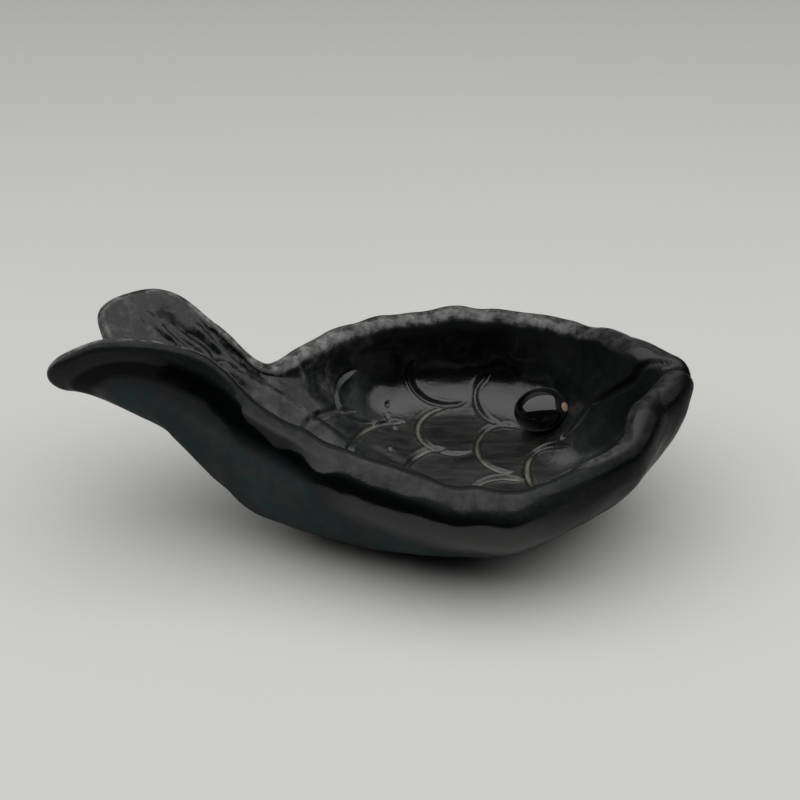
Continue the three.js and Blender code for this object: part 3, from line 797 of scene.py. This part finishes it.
@cache
def glaze():
    """Black glaze, satin where it is handled, streaky on the floor, blue-grey outside, with the wash in the lines."""
    finish = bpy.context.scene.fish_glaze
    material, b = new_material("black_glaze")
    where = b.node("ShaderNodeTexCoord", out="Object")
    groove, up, side = (
        b.node("ShaderNodeAttribute", {"attribute_name": name}, out="Fac") for name in ("groove", "up", "side")
    )
    along = b.node("ShaderNodeSeparateXYZ", {}, {"Vector": where}, "X")

    def spot(at, radius):
        gap = b.node("ShaderNodeVectorMath", {"operation": "DISTANCE"}, {0: where, 1: at}, "Value")
        return 1 - gap.ramp(0.2 * radius, radius)

    # Patterns, from the largest to the finest
    rust = b.noise(where, 52.0, 4.0, 0.65, offset=(3.1, 1.7, 0.4)).ramp(0.58, 0.72)
    patch = b.noise(where, 75.0, 4.0, 0.6).ramp(0.44, 0.62)
    cloud = b.noise(where, 210.0, 3.0, 0.6).ramp(0.45, 0.62)
    mottle = b.noise(where, 330.0, 4.0, 0.65)
    stretched = b.node("ShaderNodeVectorMath", {"operation": "MULTIPLY"}, {0: where, 1: (0.16, 1.0, 1.0)})
    streak = b.noise(stretched, 520.0, 4.0, 0.65)
    fine = b.noise(where, 1400.0, 3.0, 0.6)
    speck = b.noise(where, 1900.0, 1.0, 0.5).ramp(0.70, 0.76)

    # Places on the dish
    lips, head, tail = along.ramp(*LIPS), along.ramp(*HEAD), 1 - along.ramp(*TAIL)
    saddle = along.ramp(*SADDLE_START) * (1 - along.ramp(*SADDLE_END))
    outside = side.ramp(-0.2, 0.6)
    inside = 1 - outside
    floor = (1 - up.ramp(*FLOOR_TOP)) * inside
    wall = (1 - up.ramp(*WALL_TOP)) * (1 - tail) + (1 - up.ramp(*TAIL_WALL_TOP)) * tail
    shoulder = up.ramp(*TAIL_SHOULDER) * tail + up.ramp(*SHOULDER) * (1 - tail)
    crest = outside * shoulder + inside * up.ramp(*INNER_EDGE)
    cheek = along.ramp(*CHEEK) * up.ramp(*CHEEK_FOOT)
    fold = up.ramp(*FOLD_START) * (1 - up.ramp(*FOLD_END))
    handled = (crest + (1 - along.ramp(*RAMP) + head + cheek) * inside).clamp()

    # Deep gloss
    base = b.blend(floor * (0.25 + 0.75 * streak.ramp(0.35, 0.65)), rgba(finish.black), rgba(finish.film))
    base = b.blend((groove * 1.5 - fine * 0.4).clamp(), base, rgba(finish.wash))
    rough = 0.09 + floor * (0.08 + 0.20 * streak) + groove * 0.25
    height = mottle * (0.6 + 1.2 * floor) + fine * 0.4 * (0.4 + crest + floor) + streak * floor * 0.5
    bump = b.node("ShaderNodeBump", {}, {"Strength": 0.3, "Distance": 0.0002, "Height": height}, "Normal")
    gloss = b.node("ShaderNodeBsdfPrincipled", {}, {"Base Color": base, "Roughness": rough, "IOR": 1.5, "Normal": bump})

    # Thin glaze: clouds on the wall, grey where it is handled, painted highlights in light grey, bare in specks
    thin = b.blend(patch * (0.5 + 0.5 * mottle.ramp(0.3, 0.7)), rgba(finish.slate), rgba(finish.blue))
    thin = b.blend(cloud * 0.7, thin, rgba(finish.grey))
    thin = b.blend((rust + spot(*RUST_PATCH) * mottle).clamp() * 0.5, thin, rgba(finish.brown))
    thin = b.blend(wall, rgba(finish.black), thin)
    thin = b.blend(handled * (1 - 0.8 * outside * lips), thin, rgba(finish.satin))
    # Painted highlights: light grey on the rim's worn inner edge, and in patches in the tail's trough and on the saddle
    edge = side.ramp(-1.0, -0.85) * (1 - side.ramp(0.0, 0.5)) * mottle.ramp(0.28, 0.74) * (1 - 0.8 * head)
    patchy_wash_and_highlight = (0.3 * tail * mottle.ramp(0.45, 0.7) + 0.45 * saddle * patch * (0.4 + 0.6 * mottle)) * inside
    thin = b.blend((edge + patchy_wash_and_highlight).clamp(), thin, rgba(finish.edge))
    bare = 0.25 * rust + 0.1 * crest + 0.6 * spot(*BARE_PATCH)
    thin = b.blend(speck * bare * outside, thin, rgba(finish.chip))
    values = {"Base Color": thin, "Roughness": 0.24 + 0.2 * mottle, "IOR": 1.5, "Normal": bump}
    satin = b.node("ShaderNodeBsdfPrincipled", {}, {**values, "Specular IOR Level": 0.15})
    matt = b.node("ShaderNodeBsdfPrincipled", {}, {"Base Color": thin, "Roughness": 0.8, "Specular IOR Level": 0.0})

    worn = handled * (0.6 + 0.4 * mottle.ramp(0.3, 0.7))
    dull = outside * wall * (0.75 + 0.25 * patch)
    shade = 0.7 * along.ramp(*JAW) + (0.45 + 0.4 * fold) * tail
    dry = outside * (shade * up.ramp(0.5, 0.8) * (1 - wall) + 0.85 * wall)
    shader = b.node("ShaderNodeMixShader", {}, {0: (worn + dull).clamp(), 1: gloss, 2: satin})
    shader = b.node("ShaderNodeMixShader", {}, {0: dry.clamp(), 1: shader, 2: matt})
    b.node("ShaderNodeOutputMaterial", {}, {"Surface": shader})
    return material


@cache
def pellet_glaze():
    """Mirror-bright black glaze of the eye, with bare clay in its chip."""
    finish = bpy.context.scene.fish_glaze
    material, b = new_material("pellet_glaze")
    where = b.node("ShaderNodeTexCoord", out="Object")
    chip = b.node("ShaderNodeAttribute", {"attribute_name": "chip"}, out="Fac")
    speck = b.noise(where, 1500.0, 3.0)
    base = b.blend(chip, rgba(finish.black), rgba(finish.chip))
    rough = 0.05 + speck * 0.05 + chip * 0.6
    shader = b.node("ShaderNodeBsdfPrincipled", {}, {"Base Color": base, "Roughness": rough, "IOR": 1.5})
    b.node("ShaderNodeOutputMaterial", {}, {"Surface": shader})
    return material


class FISH_OT_dish_body(bpy.types.Operator):
    """The pinched body, with its foot, floor, lower walls and the ramp to the tail."""

    bl_idname = "fish.dish_body"
    bl_label = "Dish body"

    def execute(self, context):
        for made in (formed_dish, glaze, pellet_glaze):  # sizes and colours may have changed since
            made.cache_clear()
        dish = formed_dish()
        ids = dish["ids"]
        surface = [*quads(ids, 0, IN_SEAM), *quads(ids, OUT_SEAM, COLUMNS - 1), *dish["middle"]]
        piece("dish_body", surface, strip(ids, IN_SEAM, OUT_SEAM))
        return {"FINISHED"}


class FISH_OT_rims(bpy.types.Operator):
    """The pinched rims along the back and the belly."""

    bl_idname = "fish.rims"
    bl_label = "Rims"

    def execute(self, context):
        edge_piece("back_rim")
        edge_piece("belly_rim")
        return {"FINISHED"}


class FISH_OT_tail(bpy.types.Operator):
    """The two lobes of the tail."""

    bl_idname = "fish.tail"
    bl_label = "Tail lobes"

    def execute(self, context):
        edge_piece("tail_back_lobe")
        edge_piece("tail_belly_lobe")
        return {"FINISHED"}


class FISH_OT_lips(bpy.types.Operator):
    """The two thick lips."""

    bl_idname = "fish.lips"
    bl_label = "Lips"

    def execute(self, context):
        edge_piece("upper_lip")
        edge_piece("lower_lip")
        return {"FINISHED"}


class FISH_OT_eye(bpy.types.Operator):
    """The pellet pressed on the floor for an eye."""

    bl_idname = "fish.eye"
    bl_label = "Eye pellet"

    def execute(self, context):
        clay, shell = context.scene.fish_clay, formed_dish()["shell"]
        station, up = np.array(EYE_STATION), np.array(EYE_UP)
        inwards = unit(shell.directions(station, up)[2] * (-EYE_TILT, -1, -1))
        across = unit(np.cross(inwards, (1, 0, 0)))
        along = np.cross(across, inwards)
        seat = shell.skin(station, up, -1) + FOOT_CENTRE - (clay.foot_forward, 0, 0)
        middle = seat + inwards * (clay.eye_height / 2 - clay.eye_sink)
        ball = bmesh.new()
        bmesh.ops.create_icosphere(ball, subdivisions=6, radius=0.5)
        mesh = bpy.data.meshes.new("eye_pellet")
        ball.to_mesh(mesh)
        ball.free()
        points = gather(mesh.vertices, "co", 3) * (clay.eye_length, clay.eye_width, clay.eye_height)
        points = middle + points @ np.stack([along, across, inwards])
        mesh.vertices.foreach_set("co", points.astype(np.float32).ravel())
        near = unit(points - middle) @ unit(np.array(CHIP_TOWARDS))
        first, last = CHIP_EDGE
        write(mesh, "chip", smooth((near - first) / (last - first)))
        mesh.shade_smooth()
        hand_over("eye_pellet", mesh, pellet_glaze())
        return {"FINISHED"}


class FISH_OT_studio(bpy.types.Operator):
    """Pale table, light tent and camera."""

    bl_idname = "fish.studio"
    bl_label = "Studio"

    def execute(self, context):
        studio, scene = context.scene.fish_studio, context.scene
        half = studio.table_half
        corners = [(-half, -half, 0), (half, -half, 0), (half, half, 0), (-half, half, 0)]
        mesh = new_mesh("table", corners, [(0, 1, 2, 3)])
        table = link("table", mesh)
        paper, b = new_material("paper")
        where = b.node("ShaderNodeTexCoord", out="Object")
        tone = b.noise(where, 6.0, 2.0)
        low, high = (rgba(c * k for c in studio.floor_colour) for k in (0.98, 1.02))
        base = b.blend(tone, low, high)
        shader = b.node("ShaderNodeBsdfPrincipled", {}, {"Base Color": base, "Roughness": 0.75, "IOR": 1.3})
        b.node("ShaderNodeOutputMaterial", {}, {"Surface": shader})
        mesh.materials.append(paper)

        panel = bpy.data.lights.new("panel", "AREA")
        panel.shape, panel.size, panel.size_y = "RECTANGLE", studio.panel_length, studio.panel_width
        panel.energy = studio.panel_light * math.pi * panel.size * panel.size_y
        lamp = link("panel", panel)
        lamp.location = (0, -studio.panel_forward, studio.panel_height)

        world = bpy.data.worlds.new("tent")
        scene.world = world
        world.use_nodes = True
        b = Board(world.node_tree)
        toward = b.node("ShaderNodeTexCoord", out="Generated")
        over = b.node("ShaderNodeVectorMath", {"operation": "DOT_PRODUCT"}, {0: toward, 1: (0, 0.25, 0.97)}, "Value")
        light = over.ramp(0.45, 0.80) * studio.tent_light + 0.02
        sky = b.node("ShaderNodeBackground", {}, {"Color": (1, 1, 1, 1), "Strength": light})
        b.node("ShaderNodeOutputWorld", {}, {"Surface": sky})

        camera = bpy.data.cameras.new("camera")
        camera.sensor_width = 36
        camera.lens = 36 * studio.distance / studio.view_width
        eye = link("camera", camera)
        target = Vector(LOOK_AT) + Vector(FOOT_CENTRE) - Vector((scene.fish_clay.foot_forward, 0, 0))
        back = Vector((0, -math.cos(studio.elevation), math.sin(studio.elevation)))
        eye.location = target + back * studio.distance
        eye.rotation_euler = (math.pi / 2 - studio.elevation, 0, 0)
        scene.camera = eye
        scene.view_settings.view_transform = "Standard"
        return {"FINISHED"}


class FISH_PT_dish(bpy.types.Panel):
    """Lists the steps and the sizes of the fish dish."""

    bl_idname = "FISH_PT_dish"
    bl_label = "Fish Dish"
    bl_space_type = "VIEW_3D"
    bl_region_type = "UI"
    bl_category = "Fish Dish"

    def draw(self, context):
        for group in GROUPS:
            box = self.layout.box()
            settings = getattr(context.scene, group)
            for key in settings.__annotations__:
                box.prop(settings, key)
        for operator in OPERATORS:
            self.layout.operator(operator.bl_idname)


GROUPS = {
    "fish_clay": ClaySizes, "fish_marks": ToolMarks, "fish_glaze": GlazeFinish, "fish_studio": StudioSetup,
}
OPERATORS = (FISH_OT_dish_body, FISH_OT_rims, FISH_OT_tail, FISH_OT_lips, FISH_OT_eye, FISH_OT_studio)
CLASSES = (*GROUPS.values(), *OPERATORS, FISH_PT_dish)


def register():
    for cls in CLASSES:
        bpy.utils.register_class(cls)
    for name, group in GROUPS.items():
        setattr(bpy.types.Scene, name, bpy.props.PointerProperty(type=group))


def unregister():
    for name in GROUPS:
        delattr(bpy.types.Scene, name)
    for cls in reversed(CLASSES):
        bpy.utils.unregister_class(cls)


def main():
    register()
    bpy.ops.fish.dish_body()
    bpy.ops.fish.rims()
    bpy.ops.fish.tail()
    bpy.ops.fish.lips()
    bpy.ops.fish.eye()
    bpy.ops.fish.studio()


if __name__ == "__main__":
    main()
